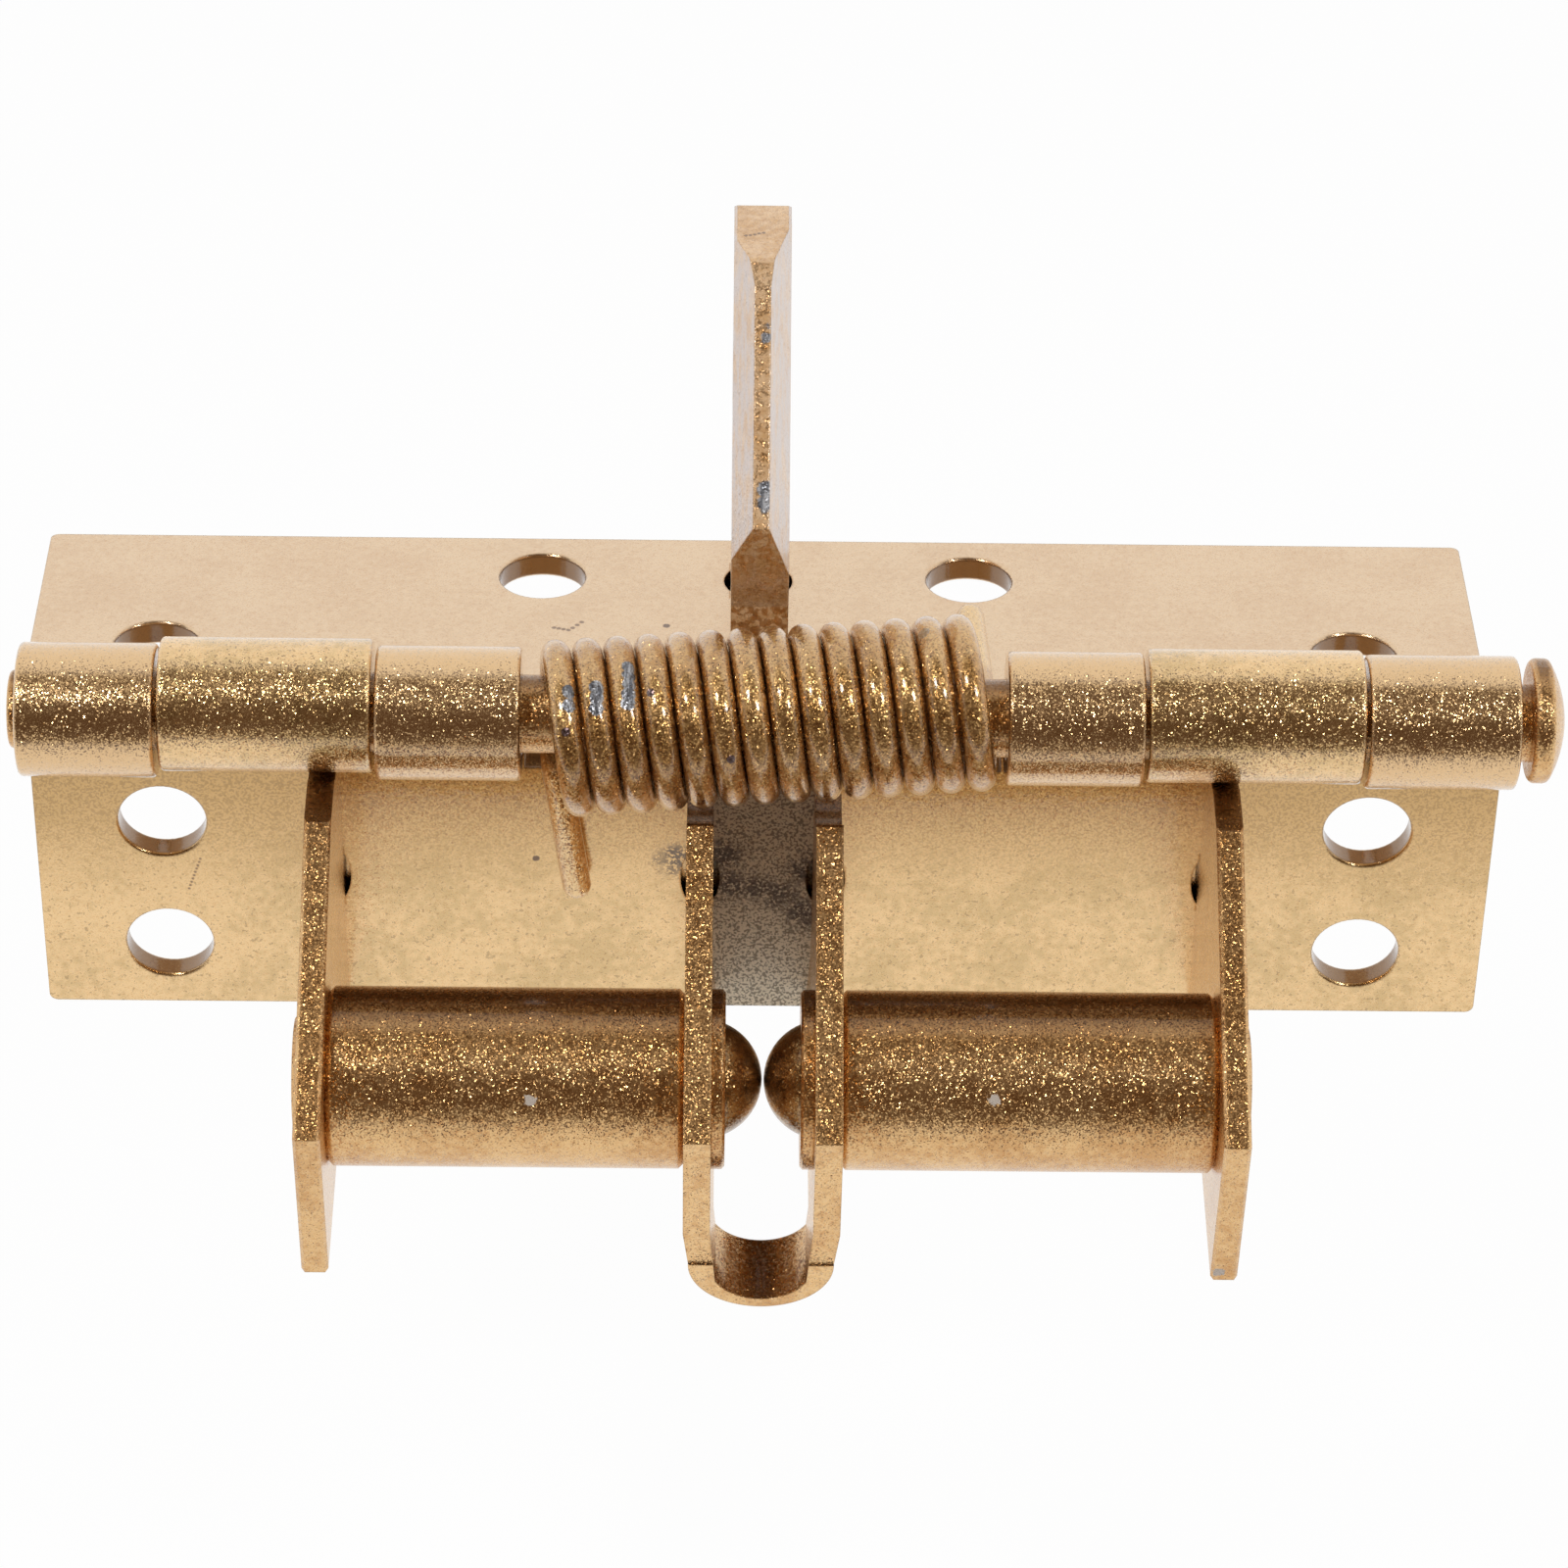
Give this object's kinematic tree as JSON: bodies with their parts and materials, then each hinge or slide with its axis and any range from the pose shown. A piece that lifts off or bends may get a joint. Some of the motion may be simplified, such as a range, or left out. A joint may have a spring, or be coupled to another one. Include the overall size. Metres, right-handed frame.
{
  "type": "spring hinge",
  "caption": "Self-closing spring hinge: two leaves on a pin with a torsion spring, and sprung balls that grip a striker blade to hold it open.",
  "frame": {"origin": "on the frame leaf's back face, midway between its two outer screw holes", "axes": "+X along the pin towards its head, +Y out along the frame leaf away from the pin, +Z out of the frame leaf's face"},
  "size_m": [0.104, 0.0526, 0.0603],
  "materials": {
    "frame_leaf_paint": "pale gold metallic-flake spray paint, satin",
    "door_leaf_paint": "gold metallic-flake spray paint, satin",
    "catch_paint": "gold metallic-flake spray paint, worn at the edges",
    "spring_paint": "gold metallic-flake spray paint, chipped to bare wire",
    "ball_paint": "gold metallic-flake spray paint over a polished ball",
    "spring_steel": "bare drawn wire"
  },
  "bodies": {
    "frame_leaf_body": {"frame_leaf": "frame_leaf_paint", "striker_blade": "catch_paint", "hinge_pin": "catch_paint", "torsion_spring": "spring_paint"},
    "door_leaf_body": {"door_leaf": "door_leaf_paint", "left_outer_cheek": "catch_paint", "right_outer_cheek": "catch_paint", "inner_u_bracket": "catch_paint", "left_barrel": "catch_paint", "right_barrel": "catch_paint", "left_ball_collar": "catch_paint", "right_ball_collar": "catch_paint", "left_end_plug": "catch_paint", "right_end_plug": "catch_paint", "left_ball_spring": "spring_steel", "right_ball_spring": "spring_steel"},
    "left_ball_body": {"left_catch_ball": "ball_paint"},
    "right_ball_body": {"right_catch_ball": "ball_paint"}
  },
  "joints": [
    {"name": "leaf_hinge", "type": "hinge", "parent": "frame_leaf_body", "child": "door_leaf_body", "pos_m": [0, -0.0132, 0.0045], "axis": [-1, 0, 0], "range_deg": [0, 193], "stiffness_Nm_per_rad": 0.35, "springref_deg": -57.3, "deforming": ["torsion_spring"]},
    {"name": "left_ball_slide", "type": "slide", "parent": "door_leaf_body", "child": "left_ball_body", "axis": [-1, 0, 0], "range_m": [0, 0.0027], "deforming": ["left_ball_spring"]},
    {"name": "right_ball_slide", "type": "slide", "parent": "door_leaf_body", "child": "right_ball_body", "axis": [1, 0, 0], "range_m": [0, 0.0027], "deforming": ["right_ball_spring"]}
  ],
  "couplings": [
    {"joint": "left_ball_slide", "follows": "leaf_hinge", "m_per_rad": 0.0008},
    {"joint": "right_ball_slide", "follows": "leaf_hinge", "m_per_rad": 0.0008}
  ]
}
